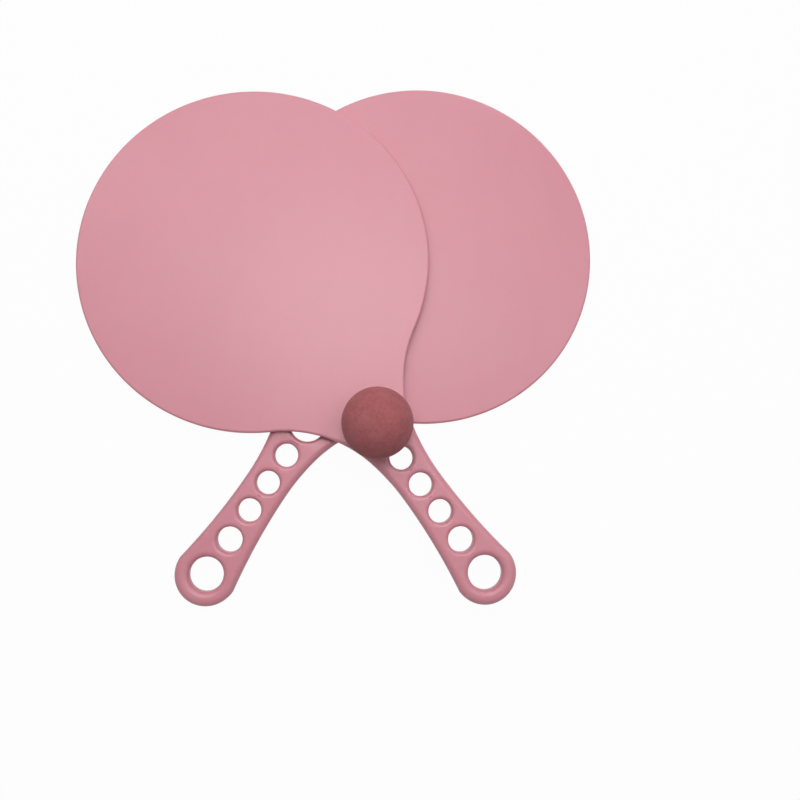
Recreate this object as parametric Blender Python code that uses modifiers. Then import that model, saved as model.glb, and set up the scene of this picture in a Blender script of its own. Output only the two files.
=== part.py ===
"""Beach bat set: two moulded bats lying crossed, with a foam rubber ball seated in the upper bat's neck hole.

Each bat is one moulding: a round blade that thickens into a waisted handle with a row of round holes.
Lengths are in metres and +Z is up. The lower bat lies on the ground plane, and the origin is on the ground
under the middle of the set's bounding box. A bat's own axis is its local Y, from the hanging hole to the blade.
"""

import math

import bmesh
import bpy
from mathutils import Matrix, Vector
from mathutils.bvhtree import BVHTree

# Bat outline, with places measured along its axis from the hanging hole's centre
BLADE_DIAMETER = 0.225
BLADE_CENTRE_AT = 0.2459
HANDLE_END_WIDTH = 0.0393
WAIST_WIDTH = 0.028
WAIST_AT = 0.0649
NECK_RADIUS = 0.142
FLARE_AT = 0.0946

# Bat section: a thick handle that ramps down to a thin blade across the neck hole
HANDLE_THICKNESS = 0.011
BLADE_THICKNESS = 0.005
RAMP_AT = 0.097
RAMP_LENGTH = 0.030
EDGE_RADIUS = 0.004

# Holes through the handle, with places along the bat's axis
HANGING_HOLE_DIAMETER = 0.021
THUMB_HOLE_DIAMETER = 0.0158
THUMB_HOLE_AT = 0.0251
GRIP_HOLE_DIAMETER = 0.0146
GRIP_HOLE_AT = 0.0465
GRIP_HOLE_PITCH = 0.0204
GRIP_HOLE_COUNT = 3
NECK_HOLE_DIAMETER = 0.0224
NECK_HOLE_AT = 0.111
HOLE_LIP = 0.0025

# Ball
BALL_DIAMETER = 0.0437

# How the set lies: headings turn anticlockwise from +Y, and the spread runs between the hanging holes
BACK_HEADING = math.radians(-33.35)
FRONT_HEADING = math.radians(36.3)
HANDLE_SPREAD = 0.1716
HANDLE_STAGGER = 0.0010
FRONT_REST_SPAN = 0.1127
FRONT_RISE_HEADING = math.radians(-39.3)
REST_GAP = 0.0003

# Facets
END_FACETS = 24
SIDE_FACETS = 8
NECK_FACETS = 5
FLARE_FACETS = 11
BLADE_FACETS = 42
EDGE_FACETS = 3
LIP_FACETS = 2
HOLE_FACETS = 28
RAMP_CUTS = 9
BALL_FACETS = 32

# Moulded pink plastic and dusky rose foam rubber, with linear colours
BAT_COLOUR = (0.72, 0.34, 0.39, 1.0)
BAT_ROUGHNESS = 0.42
BALL_COLOUR = (0.34, 0.10, 0.11, 1.0)
BALL_ROUGHNESS = 0.85

MERGE_DISTANCE = 0.00002
CAP_FLATNESS = math.radians(0.5)
BEVEL_ANGLE = math.radians(60)
SMOOTH_ANGLE = math.radians(50)
LIP_EXIT = math.radians(100)
DROP_HEIGHT = 0.2
UP = Vector((0, 0, 1))


def clear_scene():
    for item in list(bpy.data.objects):
        bpy.data.objects.remove(item, do_unlink=True)


def new_collection(name):
    collection = bpy.data.collections.new(name)
    bpy.context.scene.collection.children.link(collection)
    return collection


def plastic(name, colour, roughness):
    """A dielectric material with one colour and roughness."""
    material = bpy.data.materials.new(name)
    material.use_nodes = True
    shader = material.node_tree.nodes["Principled BSDF"]
    shader.inputs["Base Color"].default_value = colour
    shader.inputs["Roughness"].default_value = roughness
    shader.inputs["Metallic"].default_value = 0.0
    material.diffuse_color = colour
    return material


def arc(centre, radius, start, end, facets):
    """Points on an arc from one angle to another, both ends included."""
    points = []
    for step in range(facets + 1):
        angle = start + (end - start) * step / facets
        points.append(centre + radius * Vector((math.cos(angle), math.sin(angle))))
    return points


def angle_of(vector):
    return math.atan2(vector.y, vector.x)


def half_outline():
    """Right half of the bat from the handle's tip to the blade's crown, all in arcs.

    The end is a half circle about the hanging hole. The side is an arc from that circle to the waist, and meets
    the circle at a slight corner. From the waist on the arcs are tangent: the neck, the flare and the blade.
    """
    end_radius = HANDLE_END_WIDTH / 2
    waist = WAIST_WIDTH / 2
    blade_radius = BLADE_DIAMETER / 2
    blade_centre = Vector((0, BLADE_CENTRE_AT))

    flank = end_radius - waist
    side_radius = (WAIST_AT**2 + flank**2) / (2 * flank)
    side_turn = math.asin(WAIST_AT / side_radius)
    neck_turn = math.asin((FLARE_AT - WAIST_AT) / NECK_RADIUS)

    end = arc(Vector((0, 0)), end_radius, -math.pi / 2, 0, END_FACETS // 2)
    side_centre = Vector((waist + side_radius, WAIST_AT))
    side = arc(side_centre, side_radius, math.pi + side_turn, math.pi, SIDE_FACETS)
    neck_centre = Vector((waist + NECK_RADIUS, WAIST_AT))
    neck = arc(neck_centre, NECK_RADIUS, math.pi, math.pi - neck_turn, NECK_FACETS)

    outward = Vector((math.cos(neck_turn), -math.sin(neck_turn)))
    to_blade = neck[-1] - blade_centre
    reach = to_blade.length_squared - blade_radius**2
    flare_radius = reach / (2 * (blade_radius - to_blade.dot(outward)))
    flare_centre = neck[-1] + flare_radius * outward
    blade_start = angle_of(flare_centre - blade_centre)
    flare = arc(flare_centre, flare_radius, math.pi - neck_turn, math.pi + blade_start, FLARE_FACETS)
    blade = arc(blade_centre, blade_radius, blade_start, math.pi / 2, BLADE_FACETS)
    return end + side[1:] + neck[1:] + flare[1:] + blade[1:]


def bat_outline():
    """The whole outline, anticlockwise, with each point once."""
    right = half_outline()
    left = [Vector((-point.x, point.y)) for point in reversed(right[1:-1])]
    return right + left


def evaluated_mesh(item):
    """The item's mesh with its modifiers applied."""
    graph = bpy.context.evaluated_depsgraph_get()
    return bpy.data.meshes.new_from_object(item.evaluated_get(graph))


def mesh_object(name, mesh, collection):
    item = bpy.data.objects.new(name, mesh)
    collection.objects.link(item)
    return item


def flat_plate(collection):
    """The outline filled and extruded to the handle's thickness, with one face on each side."""
    outline = bat_outline()
    curve = bpy.data.curves.new("bat_outline", "CURVE")
    curve.dimensions = "2D"
    curve.fill_mode = "BOTH"
    curve.extrude = HANDLE_THICKNESS / 2
    spline = curve.splines.new("POLY")
    spline.points.add(len(outline) - 1)
    for point, place in zip(spline.points, outline):
        point.co = (place.x, place.y, 0, 1)
    spline.use_cyclic_u = True
    guide = mesh_object("bat_outline", curve, collection)
    mesh = evaluated_mesh(guide)
    bpy.data.objects.remove(guide)

    solid = bmesh.new()
    solid.from_mesh(mesh)
    bmesh.ops.remove_doubles(solid, verts=solid.verts, dist=MERGE_DISTANCE)
    bmesh.ops.dissolve_limit(solid, angle_limit=CAP_FLATNESS, verts=solid.verts, edges=solid.edges)
    bmesh.ops.recalc_face_normals(solid, faces=solid.faces)
    solid.to_mesh(mesh)
    solid.free()
    return mesh_object("bat_plate", mesh, collection)


def round_edges(plate):
    bevel = plate.modifiers.new("rounded edge", "BEVEL")
    bevel.width = EDGE_RADIUS
    bevel.segments = EDGE_FACETS
    bevel.limit_method = "ANGLE"
    bevel.angle_limit = BEVEL_ANGLE


def thickness_at(along):
    """The handle's thickness, eased down over the ramp to the blade's."""
    share = min(max((along - RAMP_AT) / RAMP_LENGTH, 0), 1)
    eased = share * share * (3 - 2 * share)
    return HANDLE_THICKNESS + (BLADE_THICKNESS - HANDLE_THICKNESS) * eased


def score_ramp(mesh):
    """Cut the plate's faces across at even steps along the ramp, so that it can bend there."""
    solid = bmesh.new()
    solid.from_mesh(mesh)
    for cut in range(RAMP_CUTS + 1):
        along = RAMP_AT + RAMP_LENGTH * cut / RAMP_CUTS
        geometry = solid.verts[:] + solid.edges[:] + solid.faces[:]
        bmesh.ops.bisect_plane(
            solid, geom=geometry, dist=MERGE_DISTANCE, plane_co=(0, along, 0), plane_no=(0, 1, 0)
        )
    solid.to_mesh(mesh)
    solid.free()


def thin_blade(solid):
    """Draw both faces together from the handle to the blade, with the lips of any hole on the ramp."""
    for vertex in solid.verts:
        vertex.co.z *= thickness_at(vertex.co.y) / HANDLE_THICKNESS


def hole_places():
    """Each hole's place along the axis, with its diameter."""
    places = [(0, HANGING_HOLE_DIAMETER), (THUMB_HOLE_AT, THUMB_HOLE_DIAMETER)]
    for step in range(GRIP_HOLE_COUNT):
        places.append((GRIP_HOLE_AT + GRIP_HOLE_PITCH * step, GRIP_HOLE_DIAMETER))
    places.append((NECK_HOLE_AT, NECK_HOLE_DIAMETER))
    return places


def lip_profile(radius):
    """Half of a hole's profile above the middle plane, from past the top face down to the straight wall."""
    lip_centre = Vector((radius + HOLE_LIP, HANDLE_THICKNESS / 2 - HOLE_LIP))
    lip = arc(lip_centre, HOLE_LIP, LIP_EXIT, math.pi, LIP_FACETS)
    exit_way = Vector((math.sin(LIP_EXIT), -math.cos(LIP_EXIT)))
    return [lip[0] + HOLE_LIP * exit_way] + lip


def hole_cutter(along, diameter, collection):
    """A turned spool whose flared ends leave a rounded lip on both faces."""
    upper = lip_profile(diameter / 2)
    lower = [Vector((point.x, -point.y)) for point in reversed(upper)]
    wall = upper + lower
    profile = [Vector((0, wall[0].y))] + wall + [Vector((0, wall[-1].y))]
    mesh = bpy.data.meshes.new("hole_cutter")
    edges = [(start, start + 1) for start in range(len(profile) - 1)]
    mesh.from_pydata([(point.x, 0, point.y) for point in profile], edges, [])
    cutter = mesh_object("hole_cutter", mesh, collection)
    cutter.location = (0, along, 0)
    cutter.hide_render = True
    cutter.display_type = "WIRE"
    screw = cutter.modifiers.new("turned spool", "SCREW")
    screw.steps = HOLE_FACETS
    screw.render_steps = HOLE_FACETS
    screw.use_merge_vertices = True
    screw.merge_threshold = MERGE_DISTANCE
    return cutter


def bat_mesh(parts, cutters):
    """One bat's finished mesh in its own frame, which both bats share."""
    plate = flat_plate(parts)
    round_edges(plate)
    blank_mesh = evaluated_mesh(plate)
    bpy.data.objects.remove(plate)
    score_ramp(blank_mesh)
    blank = mesh_object("bat_blank", blank_mesh, parts)
    for along, diameter in hole_places():
        hole_cutter(along, diameter, cutters)
    bore = blank.modifiers.new("handle holes", "BOOLEAN")
    bore.operand_type = "COLLECTION"
    bore.collection = cutters
    bore.operation = "DIFFERENCE"
    bore.solver = "EXACT"
    mesh = evaluated_mesh(blank)
    bpy.data.objects.remove(blank)

    solid = bmesh.new()
    solid.from_mesh(mesh)
    bmesh.ops.remove_doubles(solid, verts=solid.verts, dist=MERGE_DISTANCE)
    bmesh.ops.triangulate(solid, faces=solid.faces)
    thin_blade(solid)
    solid.to_mesh(mesh)
    solid.free()
    mesh.shade_smooth()
    mesh.set_sharp_from_angle(angle=SMOOTH_ANGLE)
    return mesh


def heading_vector(heading):
    """The way a bat points on the ground when its axis is turned from +Y."""
    return Vector((-math.sin(heading), math.cos(heading)))


def lying_matrix(place, heading, slope):
    """A bat turned to its heading, then leaned so that its middle plane climbs by the slope."""
    normal = Vector((-slope.x, -slope.y, 1)).normalized()
    lean = UP.rotation_difference(normal).to_matrix().to_4x4()
    return Matrix.Translation((place.x, place.y, 0)) @ lean @ Matrix.Rotation(heading, 4, "Z")


def world_points(item):
    return [item.matrix_world @ vertex.co for vertex in item.data.vertices]


def surface_tree(item):
    faces = [tuple(face.vertices) for face in item.data.polygons]
    return BVHTree.FromPolygons(world_points(item), faces)


def least_gap(points, tree, way):
    """The shortest way along one direction from any of the points to the surface."""
    gaps = []
    for point in points:
        gap = tree.ray_cast(point, way)[3]
        if gap is not None:
            gaps.append(gap)
    return min(gaps)


def move_up(item, height):
    item.matrix_world = Matrix.Translation(UP * height) @ item.matrix_world


def stand_on_ground(item):
    move_up(item, -min(point.z for point in world_points(item)))


def settle(upper, lower):
    """Let the upper piece down until it is the resting gap away from the lower one."""
    move_up(upper, DROP_HEIGHT)
    down = least_gap(world_points(upper), surface_tree(lower), -UP)
    up = least_gap(world_points(lower), surface_tree(upper), UP)
    move_up(upper, REST_GAP - min(down, up))


def set_middle():
    """The middle of the set's bounding box, with the back bat's hanging hole at zero.

    Left and right are the blades' sides, the top is the higher blade's and the bottom the lower handle end's.
    """
    blade_radius = BLADE_DIAMETER / 2
    front_hole = Vector((HANDLE_SPREAD, HANDLE_STAGGER))
    back_blade = BLADE_CENTRE_AT * heading_vector(BACK_HEADING)
    front_blade = front_hole + BLADE_CENTRE_AT * heading_vector(FRONT_HEADING)
    left = front_blade.x - blade_radius
    right = back_blade.x + blade_radius
    bottom = min(0, HANDLE_STAGGER) - HANDLE_END_WIDTH / 2
    top = max(back_blade.y, front_blade.y) + blade_radius
    return Vector(((left + right) / 2, (bottom + top) / 2))


def lay_bats(mesh, parts):
    """The lower bat on the ground, and the upper bat across it.

    The lower bat rests on its neck and its blade's crown. The upper bat rests on the lower one's neck and blade,
    so both lean by the step between handle and blade over the span between their rests.
    """
    step = (HANDLE_THICKNESS - BLADE_THICKNESS) / 2
    crown = BLADE_CENTRE_AT + BLADE_DIAMETER / 2
    back_span = crown - EDGE_RADIUS / 2 - RAMP_AT
    back_slope = -step / back_span * heading_vector(BACK_HEADING)
    rise = Vector((math.cos(FRONT_RISE_HEADING), math.sin(FRONT_RISE_HEADING)))
    front_slope = back_slope + step / FRONT_REST_SPAN * rise
    middle = set_middle()

    back = mesh_object("back_paddle", mesh, parts)
    back.matrix_world = lying_matrix(-middle, BACK_HEADING, back_slope)
    stand_on_ground(back)
    front = mesh_object("front_paddle", mesh, parts)
    front_hole = Vector((HANDLE_SPREAD, HANDLE_STAGGER)) - middle
    front.matrix_world = lying_matrix(front_hole, FRONT_HEADING, front_slope)
    settle(front, back)
    return back, front


def seated_ball(front, parts):
    """The ball let down on the rounded lip of the upper bat's neck hole.

    The hole is on the ramp, so its rim slopes by the drop across it, and the ball stands square to the rim.
    """
    radius = BALL_DIAMETER / 2
    solid = bmesh.new()
    bmesh.ops.create_uvsphere(solid, u_segments=BALL_FACETS, v_segments=BALL_FACETS // 2, radius=radius)
    mesh = bpy.data.meshes.new("ball")
    solid.to_mesh(mesh)
    solid.free()
    mesh.shade_smooth()
    lip_ring = NECK_HOLE_DIAMETER / 2 + HOLE_LIP
    height = math.sqrt((radius + HOLE_LIP) ** 2 - lip_ring**2)
    drop = thickness_at(NECK_HOLE_AT - lip_ring) - thickness_at(NECK_HOLE_AT + lip_ring)
    rim_slope = math.atan2(drop / 2, 2 * lip_ring)
    along = NECK_HOLE_AT + height * math.sin(rim_slope)
    ball = mesh_object("ball", mesh, parts)
    ball.matrix_world = front.matrix_world @ Matrix.Translation((0, along, height))
    settle(ball, front)
    return ball


def build():
    clear_scene()
    parts = new_collection("beach_bat_set")
    cutters = new_collection("cutters")
    mesh = bat_mesh(parts, cutters)
    mesh.materials.append(plastic("pink_plastic", BAT_COLOUR, BAT_ROUGHNESS))
    back, front = lay_bats(mesh, parts)
    ball = seated_ball(front, parts)
    ball.data.materials.append(plastic("rose_foam_rubber", BALL_COLOUR, BALL_ROUGHNESS))


build()
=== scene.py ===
"""Beach bat set: two pink moulded bats lying crossed, with a rose foam rubber ball in the upper neck hole.

Lengths are in metres and +Z is up. A bat's own axis is its local Y, from the hanging hole's centre to the
blade, and its middle plane is at height zero until it is laid down.
"""

import math

import bmesh
import bpy
import numpy as np
from mathutils import Matrix, Vector


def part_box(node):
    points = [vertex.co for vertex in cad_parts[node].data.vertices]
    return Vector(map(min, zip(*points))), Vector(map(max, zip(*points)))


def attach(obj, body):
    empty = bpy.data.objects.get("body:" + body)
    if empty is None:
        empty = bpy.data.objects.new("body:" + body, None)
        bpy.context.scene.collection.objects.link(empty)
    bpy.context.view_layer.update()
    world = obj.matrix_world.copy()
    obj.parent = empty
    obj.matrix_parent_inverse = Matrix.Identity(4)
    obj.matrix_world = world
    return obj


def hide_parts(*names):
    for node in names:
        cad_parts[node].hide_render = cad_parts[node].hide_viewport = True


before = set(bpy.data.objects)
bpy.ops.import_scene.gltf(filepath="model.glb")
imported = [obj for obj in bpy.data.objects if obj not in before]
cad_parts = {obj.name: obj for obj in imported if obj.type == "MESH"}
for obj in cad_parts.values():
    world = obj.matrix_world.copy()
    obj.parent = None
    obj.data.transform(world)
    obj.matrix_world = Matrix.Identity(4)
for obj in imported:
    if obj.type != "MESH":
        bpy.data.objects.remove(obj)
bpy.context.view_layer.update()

# Bat outline, with places measured along its axis from the hanging hole's centre
BLADE_DIAMETER = 0.225
BLADE_CENTRE_AT = 0.2459
HANDLE_END_WIDTH = 0.0393
WAIST_WIDTH = 0.028
WAIST_AT = 0.0649
NECK_RADIUS = 0.142
FLARE_AT = 0.0946

# How far the dressed surface lies inside the solids, at the edges and at the faces
SKIN_INSET = 0.0001
FACE_INSET = 0.00002

# Bat section: a thick handle that ramps down to a thin blade across the neck hole, with rounded edges
# and a fine mould parting line
HANDLE_THICKNESS = 0.011
BLADE_THICKNESS = 0.005
RAMP_AT = 0.097
RAMP_LENGTH = 0.030
END_EDGE_RADIUS = 0.0045
END_EDGE_LENGTH = 0.030
HANDLE_EDGE_RADIUS = 0.004
BLADE_EDGE_RADIUS = 0.0014
PARTING_WIDTH = 0.0003
PARTING_HEIGHT = 0.00005

# Holes through the handle, with places along the bat's axis
HANGING_HOLE_DIAMETER = 0.021
THUMB_HOLE_DIAMETER = 0.0158
THUMB_HOLE_AT = 0.0251
GRIP_HOLE_DIAMETER = 0.0146
GRIP_HOLE_AT = 0.0465
GRIP_HOLE_PITCH = 0.0204
GRIP_HOLE_COUNT = 3
NECK_HOLE_DIAMETER = 0.0224
NECK_HOLE_AT = 0.111
HANGING_HOLE_LIP = 0.0037
HOLE_LIP = 0.0025

# How the set lies: headings turn anticlockwise from +Y, the spread runs between the hanging holes, and the
# solids' own rounding sets how far in from its crown the lower blade touches the ground
BACK_HEADING = math.radians(-33.35)
FRONT_HEADING = math.radians(36.3)
HANDLE_SPREAD = 0.1716
HANDLE_STAGGER = 0.0010
CAD_EDGE_RADIUS = 0.004
FRONT_REST_SPAN = 0.1127
FRONT_RISE_HEADING = math.radians(-39.3)

# Ball, with shallow dimples in its skin, let down from the CAD ball's place until it is just clear of the lip
BALL_DIAMETER = 0.0436
SEAT_DROP = 0.00028
BALL_STEPS = 110
DIMPLE_COUNT = 420
DIMPLE_WIDTH = (0.0006, 0.0014)
DIMPLE_DEPTH = (0.00003, 0.00011)
DIMPLE_SEED = 7

# Steps along each arc of the outline, rows across the edges, lips and faces, and the distance for welding
END_STEPS = 36
SIDE_STEPS = 60
NECK_STEPS = 24
FLARE_STEPS = 60
BLADE_STEPS = 110
ACROSS_STEPS = 24
EDGE_ROWS = 9
LIP_ROWS = 6
CELL_ROWS = 8
BLADE_ROWS = 56
WELD_DISTANCE = 0.0000005

# Linear colours
BAT_PINK = (0.575, 0.222, 0.272)
BAT_PALE = (0.65, 0.30, 0.35)
BAT_DEEP = (0.50, 0.175, 0.215)
BALL_ROSE = (0.365, 0.094, 0.106)
BALL_BROWN = (0.298, 0.080, 0.083)
# Painted shade: the ball's pits are coloured dark for the shade that falls inside its open pores
BALL_PIT_SHADE = (0.16, 0.047, 0.047)
BALL_DUST = (0.36, 0.135, 0.145)

# Moulded plastic: how far the paler and deeper tones go over the pink, its gloss, and how light spreads in it
PALE_PATCH_SHARE = 0.12
DEEP_SPECK_SHARE = 0.10
WORN_EDGE_SHARE = 0.22
PLASTIC_ROUGHNESS = 0.33
PLASTIC_IOR = 1.54
SPREAD_WEIGHT = 0.3
SPREAD_RADIUS = (1.0, 0.35, 0.4)
SPREAD_SCALE = 0.004

# Foam rubber: how far the dust, the specks and the painted shade in the pits go over the rose, and its dull
# gloss
DUST_SHARE = 0.20
SPECKLE_SHARE = 0.24
PIT_SHADE_SHARE = 0.6
RUBBER_ROUGHNESS = 0.80
RUBBER_IOR = 1.4
RUBBER_SHEEN = 0.06
RUBBER_SHEEN_ROUGHNESS = 0.5

# Camera: where it stands, the point on the ground that it looks at, and its lens and sensor in millimetres
CAMERA_AT = Vector((0.00563, -0.07297, 0.52254))
CAMERA_AIM = Vector((0.03973, -0.01756, 0.0))
CAMERA_LENS = 36.17
CAMERA_SENSOR = 36.0
CAMERA_SHIFT_UP = -0.0437

# Light: a long softbox overhead, turned clockwise, a second beyond the blades and a little to the right,
# a small one that makes the sheen near the neck, and an even fill from all round
LIGHT_AIM = Vector((0.0, 0.1, 0.0))
OVERHEAD_AT = Vector((-0.04, 0.29, 0.9))
OVERHEAD_SIZE = (1.6, 0.38)
OVERHEAD_TURN = math.radians(20)
OVERHEAD_RADIANCE = 2.6
BEYOND_AT = Vector((0.34, 1.1, 0.9))
BEYOND_SIZE = (1.35, 0.83)
BEYOND_RADIANCE = 1.8
SHEEN_AT = Vector((-0.02, 0.16, 0.8))
SHEEN_SIZE = (0.24, 0.21)
SHEEN_RADIANCE = 8.0
FILL_LEVEL = 0.28

# Floor and backdrop: the floor's own grey takes the shadow, under the share of plain white that is shown
FLOOR_SIDE = 6.0
FLOOR_COLOUR = (0.5, 0.5, 0.5)
FLOOR_WHITE_SHARE = 0.97
BACKDROP_WHITE = 0.974


def arc(centre, radius, start, end, steps, inside):
    """Points at even angles on an arc, with the way out of the bat at each.

    A point is the centre plus the radius along its angle. The way out runs along that ray where the arc's
    centre is on the bat's side, and against it where the centre is outside the bat.
    """
    angle = np.linspace(start, end, steps + 1)
    ray = np.column_stack((np.cos(angle), np.sin(angle)))
    return centre + radius * ray, inside * ray


def join(arcs):
    """Arcs end to end as one path. Where two meet, their ways out are averaged."""
    points, ways = arcs[0]
    for next_points, next_ways in arcs[1:]:
        corner = ways[-1] + next_ways[0]
        corner = corner / np.linalg.norm(corner)
        points = np.concatenate((points, next_points[1:]))
        ways = np.concatenate((ways[:-1], [corner], next_ways[1:]))
    return points, ways


def half_outline():
    """Right half of the outline from the handle's tip to the blade's crown, with the way out at each point.

    The end is a half circle about the hanging hole. The side is an arc from that circle to the waist, and
    meets the circle at a slight corner. From the waist on the arcs are tangent: the neck, the flare and the
    blade.
    """
    end_radius = HANDLE_END_WIDTH / 2
    waist = WAIST_WIDTH / 2
    blade_radius = BLADE_DIAMETER / 2
    blade_centre = np.array((0, BLADE_CENTRE_AT))

    flank = end_radius - waist
    side_radius = (WAIST_AT**2 + flank**2) / (2 * flank)
    side_turn = math.asin(WAIST_AT / side_radius)
    side_centre = np.array((waist + side_radius, WAIST_AT))
    neck_turn = math.asin((FLARE_AT - WAIST_AT) / NECK_RADIUS)
    neck_centre = np.array((waist + NECK_RADIUS, WAIST_AT))

    outward = np.array((math.cos(neck_turn), -math.sin(neck_turn)))
    flare_start = neck_centre - NECK_RADIUS * outward
    to_blade = flare_start - blade_centre
    reach = to_blade @ to_blade - blade_radius**2
    flare_radius = reach / (2 * (blade_radius - to_blade @ outward))
    flare_centre = flare_start + flare_radius * outward
    blade_start = math.atan2(*(flare_centre - blade_centre)[::-1])

    return join((
        arc(np.zeros(2), end_radius, -math.pi / 2, 0, END_STEPS, 1),
        arc(side_centre, side_radius, math.pi + side_turn, math.pi, SIDE_STEPS, -1),
        arc(neck_centre, NECK_RADIUS, math.pi, math.pi - neck_turn, NECK_STEPS, -1),
        arc(flare_centre, flare_radius, math.pi - neck_turn, math.pi + blade_start, FLARE_STEPS, -1),
        arc(blade_centre, blade_radius, blade_start, math.pi / 2, BLADE_STEPS, 1),
    ))


def mirrored(points):
    """The same points on the bat's other side, in the opposite order."""
    return points[::-1] * (-1, 1)


def ramp(along):
    """Share of the way down the ramp, 0 on the handle and 1 on the blade.

    A share s is eased as three s squared less two s cubed.
    """
    share = np.clip((along - RAMP_AT) / RAMP_LENGTH, 0, 1)
    return share * share * (3 - 2 * share)


def half_thickness(along):
    """Half the bat's thickness, less the inset: the handle's, drawn down over the ramp to the blade's."""
    return (HANDLE_THICKNESS + (BLADE_THICKNESS - HANDLE_THICKNESS) * ramp(along)) / 2 - FACE_INSET


def edge_radius(along):
    """Radius of the edge's rounding: most at the handle's end, less along the grip, least on the blade."""
    handle = np.interp(along, (0, END_EDGE_LENGTH), (END_EDGE_RADIUS, HANDLE_EDGE_RADIUS))
    return handle + (BLADE_EDGE_RADIUS - handle) * ramp(along)


def hole_places():
    """Each hole's place along the axis, with its radius and the radius of its lip."""
    places = [(0, HANGING_HOLE_DIAMETER / 2, HANGING_HOLE_LIP)]
    places.append((THUMB_HOLE_AT, THUMB_HOLE_DIAMETER / 2, HOLE_LIP))
    for step in range(GRIP_HOLE_COUNT):
        places.append((GRIP_HOLE_AT + GRIP_HOLE_PITCH * step, GRIP_HOLE_DIAMETER / 2, HOLE_LIP))
    places.append((NECK_HOLE_AT, NECK_HOLE_DIAMETER / 2, HOLE_LIP))
    return places


def edge_profile():
    """Section of the bat's edge from its top face to its underside.

    The rounding turns through a quarter circle: out is the sine of the turn and down is one less its cosine,
    as shares of its radius. Side is 1 above, -1 below and 0 on the parting line, which has three rows between
    the two roundings: ridge is how far each stands proud, and wall its height about the middle plane.
    """
    turn = np.linspace(0, math.pi / 2, EDGE_ROWS + 1)
    none = np.zeros(turn.size)
    line = np.array((1, 0, -1))
    out = np.concatenate((np.sin(turn), np.ones(line.size), np.sin(turn[::-1])))
    down = np.concatenate((1 - np.cos(turn), np.ones(line.size), 1 - np.cos(turn[::-1])))
    side = np.concatenate((none + 1, np.zeros(line.size), none - 1))
    ridge = np.concatenate((none, PARTING_HEIGHT * (line == 0), none))
    wall = np.concatenate((none, PARTING_WIDTH / 2 * line, none))
    return out, down, side, ridge, wall


def edge_band(inner, ways, radius):
    """The edge's section carried along the outline: the inner path plus out times the radius, and the ridge.

    Beside the points it gives how far round the edge each one is, for the worn finish.
    """
    out, down, side, ridge, wall = (values[:, None] for values in edge_profile())
    reach = out * radius + ridge
    plan = inner + reach[..., None] * ways
    height = side * (half_thickness(inner[:, 1]) - down * radius) + wall
    points = np.concatenate((plan, height[..., None]), axis=-1)
    return points, np.broadcast_to(out, height.shape)


def cell_border(inner, first, last):
    """Loop round a stretch of the bat, anticlockwise: up its right side, across, down its left and back.

    At the handle's tip and at the blade's crown the sides meet, so nothing runs across there.
    """
    right = inner[first:last + 1]
    left = mirrored(right)
    share = np.linspace(0, 1, ACROSS_STEPS + 1)[1:-1, None]
    over = right[-1] + share * (left[0] - right[-1])
    back = left[-1] + share * (right[0] - left[-1])
    is_tip = abs(right[0, 0]) < WELD_DISTANCE
    is_crown = abs(right[-1, 0]) < WELD_DISTANCE
    if is_tip:
        return np.concatenate((right, over, left[:-1]))
    if is_crown:
        return np.concatenate((right, left[1:], back))
    return np.concatenate((right, over, left, back))


def ruled_face(start, border, share, side):
    """Face ruled from a start loop to a border loop, half the bat's thickness above or below its middle."""
    plan = start + share[:, None, None] * (border - start)
    height = side * half_thickness(plan[..., 1])
    points = np.concatenate((plan, height[..., None]), axis=-1)
    return points, np.zeros(height.shape)


def hole_wall(ray, place, radius, lip):
    """A hole's section carried round it: a lip that turns in from the top face, the wall, and a lip below.

    At each turn of the lip the section is outside the wall by the lip's radius times one less the sine of the
    turn, and below the face by the lip's radius times one less its cosine. On the ramp it is drawn down with
    the bat's thickness.
    """
    turn = np.linspace(0, math.pi / 2, LIP_ROWS + 1)
    upper = radius + lip * (1 - np.sin(turn))
    depth = 1 - lip / (HANDLE_THICKNESS / 2) * (1 - np.cos(turn))
    reach = np.concatenate((upper, upper[::-1]))[:, None, None]
    plan = np.array((0, place)) + reach * ray
    height = np.concatenate((depth, -depth[::-1]))[:, None] * half_thickness(plan[..., 1])
    rounding = np.concatenate((np.sin(turn), np.sin(turn[::-1])))[:, None]
    points = np.concatenate((plan, height[..., None]), axis=-1)
    return points, np.broadcast_to(rounding, plan.shape[:2])


def cell_limits(inner):
    """Path steps where one hole's stretch of the handle ends and the next begins, midway between their lips.

    The last stretch ends midway between the neck hole's lip and the foot of the blade's circle.
    """
    places = hole_places()
    tops = np.array([place + radius + lip for place, radius, lip in places])
    blade_foot = BLADE_CENTRE_AT - BLADE_DIAMETER / 2
    bottoms = np.array([place - radius - lip for place, radius, lip in places[1:]] + [blade_foot])
    middles = (tops + bottoms) / 2
    handle = inner[: inner[:, 1].argmax()]
    after_end = np.arange(len(handle)) >= END_STEPS
    apart = abs(handle[:, 1] - middles[:, None])
    steps = np.where(after_end, apart, np.inf).argmin(axis=1)
    return [0] + steps.tolist()


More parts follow.
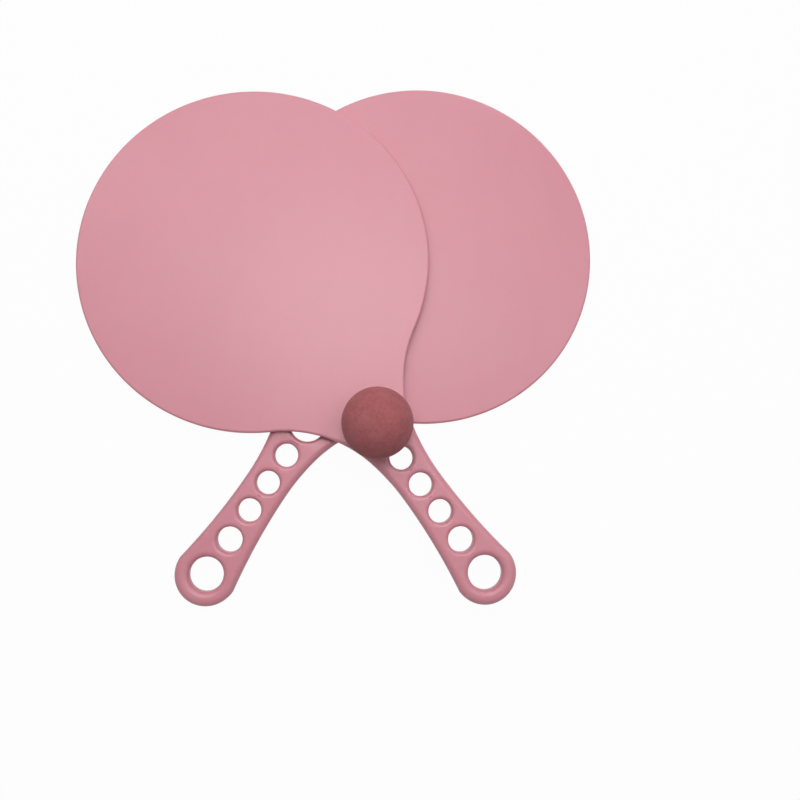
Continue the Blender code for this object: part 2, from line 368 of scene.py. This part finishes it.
def bat_surfaces():
    """All the surfaces of a bat in its own frame: the edge, and each face with its hole, above and below."""
    path, ways = half_outline()
    path = path - SKIN_INSET * ways
    radius = edge_radius(path[:, 1])
    inner = path - radius[:, None] * ways
    whole_inner = np.concatenate((inner, mirrored(inner)[1:-1]))
    whole_ways = np.concatenate((ways, mirrored(ways)[1:-1]))
    whole_radius = np.concatenate((radius, radius[::-1][1:-1]))
    surfaces = [edge_band(whole_inner, whole_ways, whole_radius)]

    limits = cell_limits(inner)
    eased = (1 - np.cos(np.linspace(0, math.pi, CELL_ROWS + 1))) / 2
    for (place, hole, lip), first, last in zip(hole_places(), limits, limits[1:]):
        border = cell_border(inner, first, last)
        middle = np.array((0, place))
        ray = border - middle
        ray = ray / np.linalg.norm(ray, axis=1)[:, None]
        ring = middle + (hole + lip) * ray
        surfaces.append(hole_wall(ray, place, hole, lip))
        for side in (1, -1):
            surfaces.append(ruled_face(ring, border, eased, side))

    border = cell_border(inner, limits[-1], len(inner) - 1)
    pole = np.broadcast_to((0, BLADE_CENTRE_AT), border.shape)
    rim_share = np.sin(np.linspace(0, math.pi / 2, BLADE_ROWS + 1))
    for side in (1, -1):
        surfaces.append(ruled_face(pole, border, rim_share, side))
    return surfaces


def grid_quads(rows, columns, first, closed):
    """Corner numbers of a grid's quads. On a closed grid the last column joins the first."""
    number = first + np.arange(rows * columns).reshape(rows, columns)
    if closed:
        number = np.column_stack((number, number[:, 0]))
    corners = (number[:-1, :-1], number[1:, :-1], number[1:, 1:], number[:-1, 1:])
    return np.stack(corners, axis=-1).reshape(-1, 4)


def welded_mesh(name, grids, closed, edge=None):
    """One mesh from several grids, welded where they meet, with its faces outwards."""
    quads = []
    count = 0
    for grid in grids:
        rows, columns = grid.shape[:2]
        quads.append(grid_quads(rows, columns, count, closed))
        count += rows * columns
    points = np.concatenate([grid.reshape(-1, 3) for grid in grids])
    mesh = bpy.data.meshes.new(name)
    mesh.from_pydata(points.tolist(), [], np.concatenate(quads).tolist())
    if edge is not None:
        layer = mesh.attributes.new("edge", "FLOAT", "POINT")
        layer.data.foreach_set("value", edge.astype(np.float32))
    solid = bmesh.new()
    solid.from_mesh(mesh)
    bmesh.ops.remove_doubles(solid, verts=solid.verts, dist=WELD_DISTANCE)
    bmesh.ops.recalc_face_normals(solid, faces=solid.faces)
    solid.to_mesh(mesh)
    solid.free()
    mesh.shade_smooth()
    return mesh


def add_piece(name, mesh, material):
    """An object at the origin, with its place in its mesh."""
    piece = bpy.data.objects.new(name, mesh)
    bpy.context.scene.collection.objects.link(piece)
    mesh.materials.append(material)
    return piece


def heading_vector(heading):
    """The way a bat points on the ground when its axis is turned from +Y."""
    return np.array((-math.sin(heading), math.cos(heading)))


def set_middle():
    """The middle of the set in plan, with the back bat's hanging hole at zero."""
    blade_radius = BLADE_DIAMETER / 2
    front_hole = np.array((HANDLE_SPREAD, HANDLE_STAGGER))
    back_blade = BLADE_CENTRE_AT * heading_vector(BACK_HEADING)
    front_blade = front_hole + BLADE_CENTRE_AT * heading_vector(FRONT_HEADING)
    left = front_blade[0] - blade_radius
    right = back_blade[0] + blade_radius
    bottom = min(0, HANDLE_STAGGER) - HANDLE_END_WIDTH / 2
    top = max(back_blade[1], front_blade[1]) + blade_radius
    return np.array(((left + right) / 2, (bottom + top) / 2))


def slopes():
    """How steeply each bat's middle plane climbs in X and Y.

    The lower bat rests on its neck and its blade's crown, and the upper one on the lower one's neck and
    blade. Both lean by the step between handle and blade over the span between their rests.
    """
    step = (HANDLE_THICKNESS - BLADE_THICKNESS) / 2
    back_span = BLADE_CENTRE_AT + BLADE_DIAMETER / 2 - CAD_EDGE_RADIUS / 2 - RAMP_AT
    back = -step / back_span * heading_vector(BACK_HEADING)
    rise = np.array((math.cos(FRONT_RISE_HEADING), math.sin(FRONT_RISE_HEADING)))
    return back, back + step / FRONT_REST_SPAN * rise


def node_points(node):
    """The corners of a CAD node's mesh."""
    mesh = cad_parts[node].data
    flat = np.empty(len(mesh.vertices) * 3)
    mesh.vertices.foreach_get("co", flat)
    return flat.reshape(-1, 3)


def lying_matrix(node, plan, heading, slope):
    """A bat turned, leaned and set so that the top of its handle is in the plane of the CAD handle's top."""
    normal = Vector((-slope[0], -slope[1], 1)).normalized()
    lean = Vector((0, 0, 1)).rotation_difference(normal).to_matrix()
    turned = lean @ Matrix.Rotation(heading, 3, "Z")
    top = (node_points(node) @ np.array(normal)).max()
    level = top - HANDLE_THICKNESS / 2 - normal.x * plan[0] - normal.y * plan[1]
    return Matrix.Translation((plan[0], plan[1], level / normal.z)) @ turned.to_4x4()


def laid_bat(name, node, plan, heading, slope, surfaces, material):
    """A bat's surfaces laid in place as one piece that stands for a CAD node."""
    matrix = np.array(lying_matrix(node, plan, heading, slope))
    grids = [points @ matrix[:3, :3].T + matrix[:3, 3] for points, rounding in surfaces]
    edge = np.concatenate([rounding.ravel() for points, rounding in surfaces])
    bat = add_piece(name, welded_mesh(name, grids, True, edge), material)
    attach(bat, node)
    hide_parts(node)
    return bat


def ball_directions():
    """Six grids that cover a unit sphere, one for each side of a cube.

    A point is (tan a, tan b, 1) scaled to length one, with a and b even from minus to plus an eighth of a
    turn. The other sides have the same numbers in turned order, and with the opposite sign.
    """
    across = np.tan(np.linspace(-math.pi / 4, math.pi / 4, BALL_STEPS + 1))
    first, second = np.meshgrid(across, across)
    side = np.stack((first, second, np.ones_like(first)), axis=-1)
    side = side / np.linalg.norm(side, axis=-1, keepdims=True)
    return [sign * np.roll(side, turn, axis=-1) for turn in range(3) for sign in (1, -1)]


def dimpled_radius(directions):
    """The ball's radius in each direction: round, less a bell-shaped hollow about each dimple's centre.

    A hollow is its depth times the exponential of minus the square of the distance over half the width.
    """
    chance = np.random.default_rng(DIMPLE_SEED)
    centres = chance.normal(size=(DIMPLE_COUNT, 3))
    centres = centres / np.linalg.norm(centres, axis=1)[:, None]
    widths = chance.uniform(*DIMPLE_WIDTH, DIMPLE_COUNT) / 2
    depths = chance.uniform(*DIMPLE_DEPTH, DIMPLE_COUNT)
    radius = np.full(directions.shape[:-1], BALL_DIAMETER / 2)
    for centre, width, depth in zip(centres, widths, depths):
        apart = BALL_DIAMETER**2 / 2 * (1 - directions @ centre)
        radius -= depth * np.exp(-apart / width**2)
    return radius


def seated_ball(material):
    """The ball at the CAD ball's place, let down close to the neck hole's lip, as six dimpled grids."""
    low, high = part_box("ball")
    centre = np.array(low + high) / 2 - (0, 0, SEAT_DROP)
    sides = [centre + dimpled_radius(side)[..., None] * side for side in ball_directions()]
    ball = add_piece("foam_ball", welded_mesh("foam_ball", sides, False), material)
    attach(ball, "ball")
    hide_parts("ball")
    return ball


class Signal:
    """A shader socket that adds a Math node when it is used in an expression."""

    def __init__(self, finish, socket):
        self.finish = finish
        self.socket = socket

    def maths(self, operation, first, second):
        return self.finish.node("ShaderNodeMath", {"operation": operation}, {0: first, 1: second})

    def __add__(self, other):
        return self.maths("ADD", self, other)

    __radd__ = __add__

    def __sub__(self, other):
        return self.maths("SUBTRACT", self, other)

    def __rsub__(self, other):
        return self.maths("SUBTRACT", other, self)

    def __mul__(self, other):
        return self.maths("MULTIPLY", self, other)

    __rmul__ = __mul__


class Finish:
    """A node tree that is filled one node at a time."""

    def __init__(self, tree):
        self.tree = tree
        self.tree.nodes.clear()

    def node(self, kind, settings, inputs, output=0):
        """A node of a kind with its settings, then the values or links of its sockets. Gives one output."""
        node = self.tree.nodes.new(kind)
        for name, value in settings.items():
            setattr(node, name, value)
        for key, value in inputs.items():
            if isinstance(value, Signal):
                self.tree.links.new(value.socket, node.inputs[key])
            else:
                node.inputs[key].default_value = value
        return Signal(self, node.outputs[output]) if node.outputs else None

    def place(self):
        """Object coordinates, in metres."""
        return self.node("ShaderNodeTexCoord", {}, {}, "Object")

    def noise(self, size, detail=2.0, roughness=0.5, stretch=(1, 1, 1)):
        """Noise about 0.5 with features of a size in metres, drawn out by the stretch."""
        scale = [1 / (size * share) for share in stretch]
        where = self.node("ShaderNodeMapping", {}, {"Vector": self.place(), "Scale": scale})
        sockets = {"Vector": where, "Scale": 1.0, "Detail": detail, "Roughness": roughness}
        return self.node("ShaderNodeTexNoise", {}, sockets, "Fac")

    def cells(self, size):
        """Distance from the nearest of a scatter of points that are a size in metres apart."""
        sockets = {"Vector": self.place(), "Scale": 1 / size}
        return self.node("ShaderNodeTexVoronoi", {"feature": "F1"}, sockets, "Distance")

    def band(self, value, low, high):
        """0 below low, 1 above high and smooth between."""
        settings = {"interpolation_type": "SMOOTHSTEP"}
        return self.node("ShaderNodeMapRange", settings, {"Value": value, "From Min": low, "From Max": high})

    def greater(self, first, second):
        """The greater of two values."""
        return self.node("ShaderNodeMath", {"operation": "MAXIMUM"}, {0: first, 1: second})

    def mix(self, share, first, second):
        """A colour that goes from the first to the second as the share goes from 0 to 1.

        A Mix node's colours are its inputs 6 and 7 and its output 2.
        """
        first, second = (c if isinstance(c, Signal) else (*c, 1.0) for c in (first, second))
        return self.node("ShaderNodeMix", {"data_type": "RGBA"}, {0: share, 6: first, 7: second}, 2)

    def bump(self, height, distance, strength, normal=None):
        """A normal that leans with the slope of the height, on top of another normal where one is given."""
        sockets = {"Height": height, "Distance": distance, "Strength": strength}
        if normal:
            sockets["Normal"] = normal
        return self.node("ShaderNodeBump", {}, sockets)


def new_finish(name):
    """A material, with its empty node tree to fill."""
    material = bpy.data.materials.new(name)
    material.use_nodes = True
    return material, Finish(material.node_tree)


def moulded_pink():
    """Satin moulded plastic: a fine grain, slow drifts of tone, and paler, smoother rubbed edges."""
    material, finish = new_finish("moulded_pink")
    drift = finish.noise(size=0.055, detail=3.0)
    flow = finish.noise(size=0.012, detail=3.0, stretch=(1, 4, 1))
    swell = finish.noise(size=0.018, detail=1.0)
    speck = finish.noise(size=0.0008, detail=2.0)
    grain = finish.noise(size=0.0006, detail=3.0, roughness=0.6)
    scuff = finish.noise(size=0.0035, detail=4.0, roughness=0.65)
    edge = finish.node("ShaderNodeAttribute", {"attribute_name": "edge"}, {}, "Fac")

    pale_patches = finish.band(drift * 0.6 + flow * 0.25 + speck * 0.15, low=0.38, high=0.62)
    deep_specks = finish.band(speck, low=0.60, high=0.72)
    worn = finish.band(edge, low=0.15, high=0.9) * finish.band(scuff, low=0.48, high=0.68)
    colour = finish.mix(pale_patches * PALE_PATCH_SHARE, BAT_PINK, BAT_PALE)
    colour = finish.mix(deep_specks * DEEP_SPECK_SHARE, colour, BAT_DEEP)
    colour = finish.mix(worn * WORN_EDGE_SHARE, colour, BAT_PALE)
    roughness = PLASTIC_ROUGHNESS + grain * 0.08 + drift * 0.05 - worn * 0.05
    fine = finish.bump(grain, distance=0.00006, strength=0.35)
    soft = finish.bump(swell, distance=0.0004, strength=0.10, normal=fine)
    surface = finish.node(
        "ShaderNodeBsdfPrincipled",
        {},
        {
            "Base Color": colour,
            "Roughness": roughness,
            "IOR": PLASTIC_IOR,
            "Subsurface Weight": SPREAD_WEIGHT,
            "Subsurface Radius": SPREAD_RADIUS,
            "Subsurface Scale": SPREAD_SCALE,
            "Normal": soft,
        },
    )
    finish.node("ShaderNodeOutputMaterial", {}, {"Surface": surface})
    return material


def foam_rubber():
    """Matt foam rubber: open pits with painted shade in them, mottled rose and brown, with a dull skin dusty
    in patches and specks.
    """
    material, finish = new_finish("foam_rubber")
    mottle = finish.noise(size=0.006, detail=4.0, roughness=0.6)
    grain = finish.noise(size=0.0011, detail=3.0, roughness=0.65)
    rose_patches = finish.band(mottle * 0.7 + grain * 0.3, low=0.36, high=0.64)
    dust = finish.band(finish.noise(size=0.013, detail=2.0), low=0.45, high=0.65)
    speckle = finish.band(finish.noise(size=0.0019, detail=2.0), low=0.42, high=0.60)
    pores = 1 - finish.band(finish.cells(size=0.0017), low=0.10, high=0.32)
    pits = pores * finish.band(finish.noise(size=0.004), low=0.48, high=0.60)

    colour = finish.mix(rose_patches, BALL_BROWN, BALL_ROSE)
    colour = finish.mix(dust * DUST_SHARE + speckle * SPECKLE_SHARE, colour, BALL_DUST)
    # Painted shade: the pits are darkened where shade would fall inside the pores, on top of their bump
    colour = finish.mix(pits * PIT_SHADE_SHARE, colour, BALL_PIT_SHADE)
    roughness = RUBBER_ROUGHNESS + grain * 0.15
    height = grain * 0.6 + mottle * 0.5 - pits * 0.8
    surface = finish.node(
        "ShaderNodeBsdfPrincipled",
        {},
        {
            "Base Color": colour,
            "Roughness": roughness,
            "IOR": RUBBER_IOR,
            "Sheen Weight": RUBBER_SHEEN,
            "Sheen Roughness": RUBBER_SHEEN_ROUGHNESS,
            "Normal": finish.bump(height, distance=0.0003, strength=0.7),
        },
    )
    finish.node("ShaderNodeOutputMaterial", {}, {"Surface": surface})
    return material


def shown_share(finish):
    """1 for rays that show a surface, straight, in gloss or through glass, and 0 for all other rays."""
    rays = ("Is Camera Ray", "Is Glossy Ray", "Is Transmission Ray")
    camera, glossy, through = (finish.node("ShaderNodeLightPath", {}, {}, ray) for ray in rays)
    return finish.greater(camera, finish.greater(glossy, through))


def white_floor():
    """A pale floor that catches the shadow, most of it plain white where it is shown."""
    material, finish = new_finish("white_floor")
    matt = finish.node("ShaderNodeBsdfDiffuse", {}, {"Color": (*FLOOR_COLOUR, 1.0)})
    white = finish.node("ShaderNodeEmission", {}, {"Color": (1.0, 1.0, 1.0, 1.0), "Strength": 1.0})
    share = shown_share(finish) * FLOOR_WHITE_SHARE
    surface = finish.node("ShaderNodeMixShader", {}, {0: share, 1: matt, 2: white})
    finish.node("ShaderNodeOutputMaterial", {}, {"Surface": surface})
    return material


def add_floor():
    """A square floor round the origin, which is stage and no piece of the set."""
    half = FLOOR_SIDE / 2
    corners = [(-half, -half, 0), (half, -half, 0), (half, half, 0), (-half, half, 0)]
    mesh = bpy.data.meshes.new("floor")
    mesh.from_pydata(corners, [], [(0, 1, 2, 3)])
    add_piece("floor", mesh, white_floor())


def add_world():
    """An even fill for light, shown as white as the far floor so that no horizon is seen."""
    world = bpy.data.worlds.new("studio")
    world.use_nodes = True
    bpy.context.scene.world = world
    finish = Finish(world.node_tree)
    fill = (FILL_LEVEL,) * 3
    white = (BACKDROP_WHITE,) * 3
    colour = finish.mix(shown_share(finish), fill, white)
    surface = finish.node("ShaderNodeBackground", {}, {"Color": colour, "Strength": 1.0})
    finish.node("ShaderNodeOutputWorld", {}, {"Surface": surface})


def looking_matrix(place, aim, up):
    """A place and turn whose -Z runs to the aim and whose Y is as near as can be to the up way."""
    forward = (aim - place).normalized()
    right = forward.cross(up).normalized()
    turn = Matrix((right, right.cross(forward), -forward)).transposed()
    return Matrix.Translation(place) @ turn.to_4x4()


def add_softbox(name, place, size, radiance, turn=0.0):
    """A rectangular lamp aimed at the set, its short side at the turn from +Y round to +X.

    A lamp of area A that shines evenly at a radiance has a power of that radiance times pi times A.
    """
    lamp = bpy.data.lights.new(name, "AREA")
    lamp.shape = "RECTANGLE"
    lamp.size, lamp.size_y = size
    lamp.energy = radiance * math.pi * size[0] * size[1]
    softbox = bpy.data.objects.new(name, lamp)
    bpy.context.scene.collection.objects.link(softbox)
    short_way = Vector((math.sin(turn), math.cos(turn), 0))
    softbox.matrix_world = looking_matrix(place, LIGHT_AIM, short_way)
    softbox.visible_camera = False


def add_camera():
    """The camera nearly straight above the set, as the photograph was taken."""
    lens = bpy.data.cameras.new("camera")
    lens.lens = CAMERA_LENS
    lens.sensor_width = CAMERA_SENSOR
    lens.shift_y = CAMERA_SHIFT_UP
    camera = bpy.data.objects.new("camera", lens)
    bpy.context.scene.collection.objects.link(camera)
    camera.matrix_world = looking_matrix(CAMERA_AT, CAMERA_AIM, Vector((0, 1, 0)))
    bpy.context.scene.camera = camera


def build():
    """The set in its place, with the floor, the light and the camera."""
    bpy.context.scene.view_settings.view_transform = "Standard"
    pink = moulded_pink()
    surfaces = bat_surfaces()
    back_hole = -set_middle()
    front_hole = back_hole + (HANDLE_SPREAD, HANDLE_STAGGER)
    back_slope, front_slope = slopes()
    laid_bat("back_bat", "back_paddle", back_hole, BACK_HEADING, back_slope, surfaces, pink)
    laid_bat("front_bat", "front_paddle", front_hole, FRONT_HEADING, front_slope, surfaces, pink)
    seated_ball(foam_rubber())
    add_floor()
    add_world()
    add_softbox("overhead", OVERHEAD_AT, OVERHEAD_SIZE, OVERHEAD_RADIANCE, OVERHEAD_TURN)
    add_softbox("beyond", BEYOND_AT, BEYOND_SIZE, BEYOND_RADIANCE)
    add_softbox("sheen", SHEEN_AT, SHEEN_SIZE, SHEEN_RADIANCE)
    add_camera()


build()
